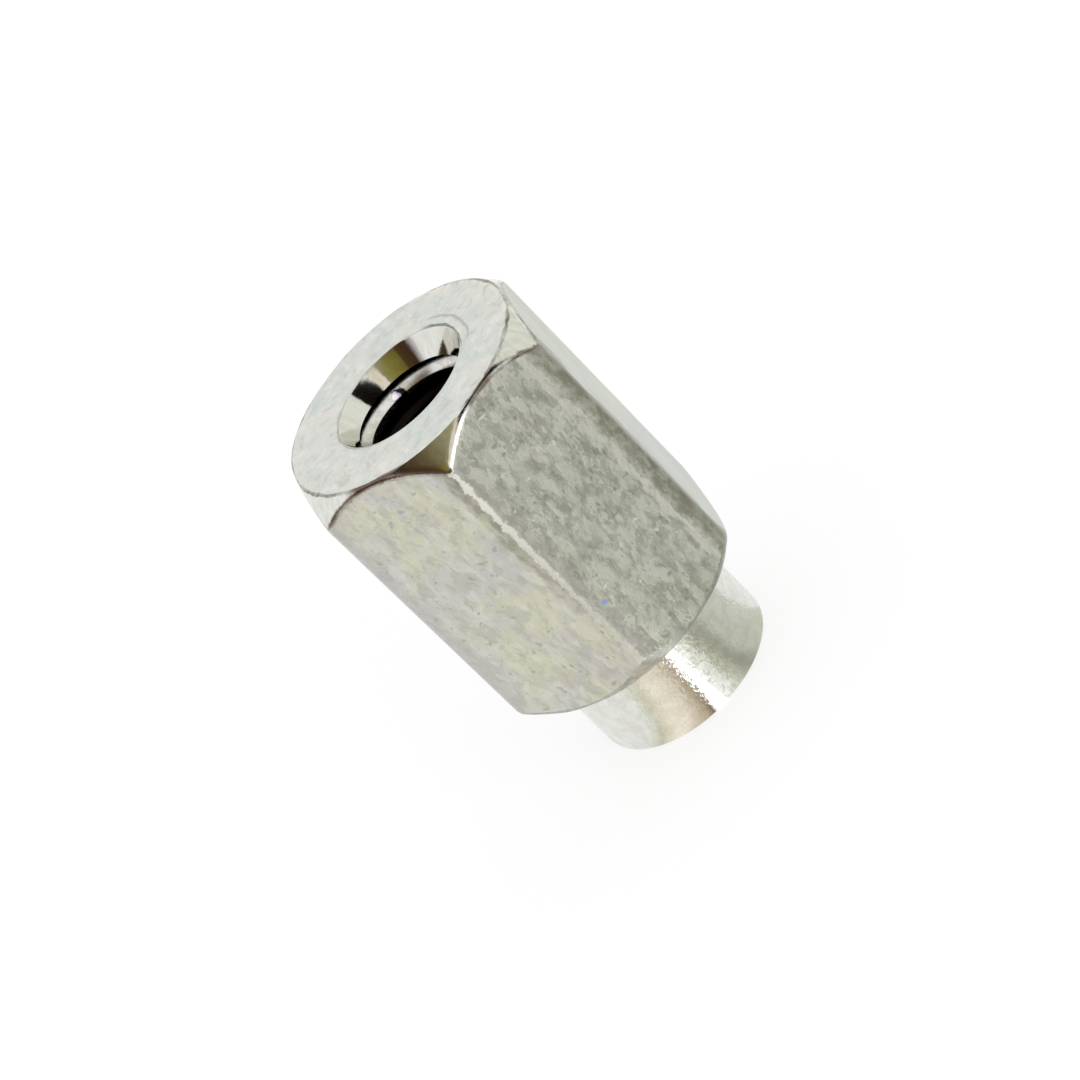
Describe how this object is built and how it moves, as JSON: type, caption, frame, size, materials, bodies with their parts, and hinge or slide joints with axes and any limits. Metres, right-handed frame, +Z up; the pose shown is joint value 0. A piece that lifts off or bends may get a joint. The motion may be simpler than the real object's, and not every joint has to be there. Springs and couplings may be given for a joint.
{
  "type": "hex standoff",
  "caption": "Short hexagonal threaded standoff with a through bore, countersunk mouths, turned end chamfers and a round spigot that seats it in a board.",
  "frame": {"origin": "centre of the spigot's end face, on the bore's axis, where the part stands", "axes": "+Z up the bore's axis from the spigot to the top face; +X through a corner of the hexagon; +Y square to a flat"},
  "size_m": [0.0062, 0.0054, 0.0092],
  "materials": {
    "plated_metal": "satin nickel plating over brass, drawn flats lightly mottled, turned faces and chamfers brighter"
  },
  "bodies": {
    "root": {"standoff": "plated_metal"}
  },
  "joints": []
}
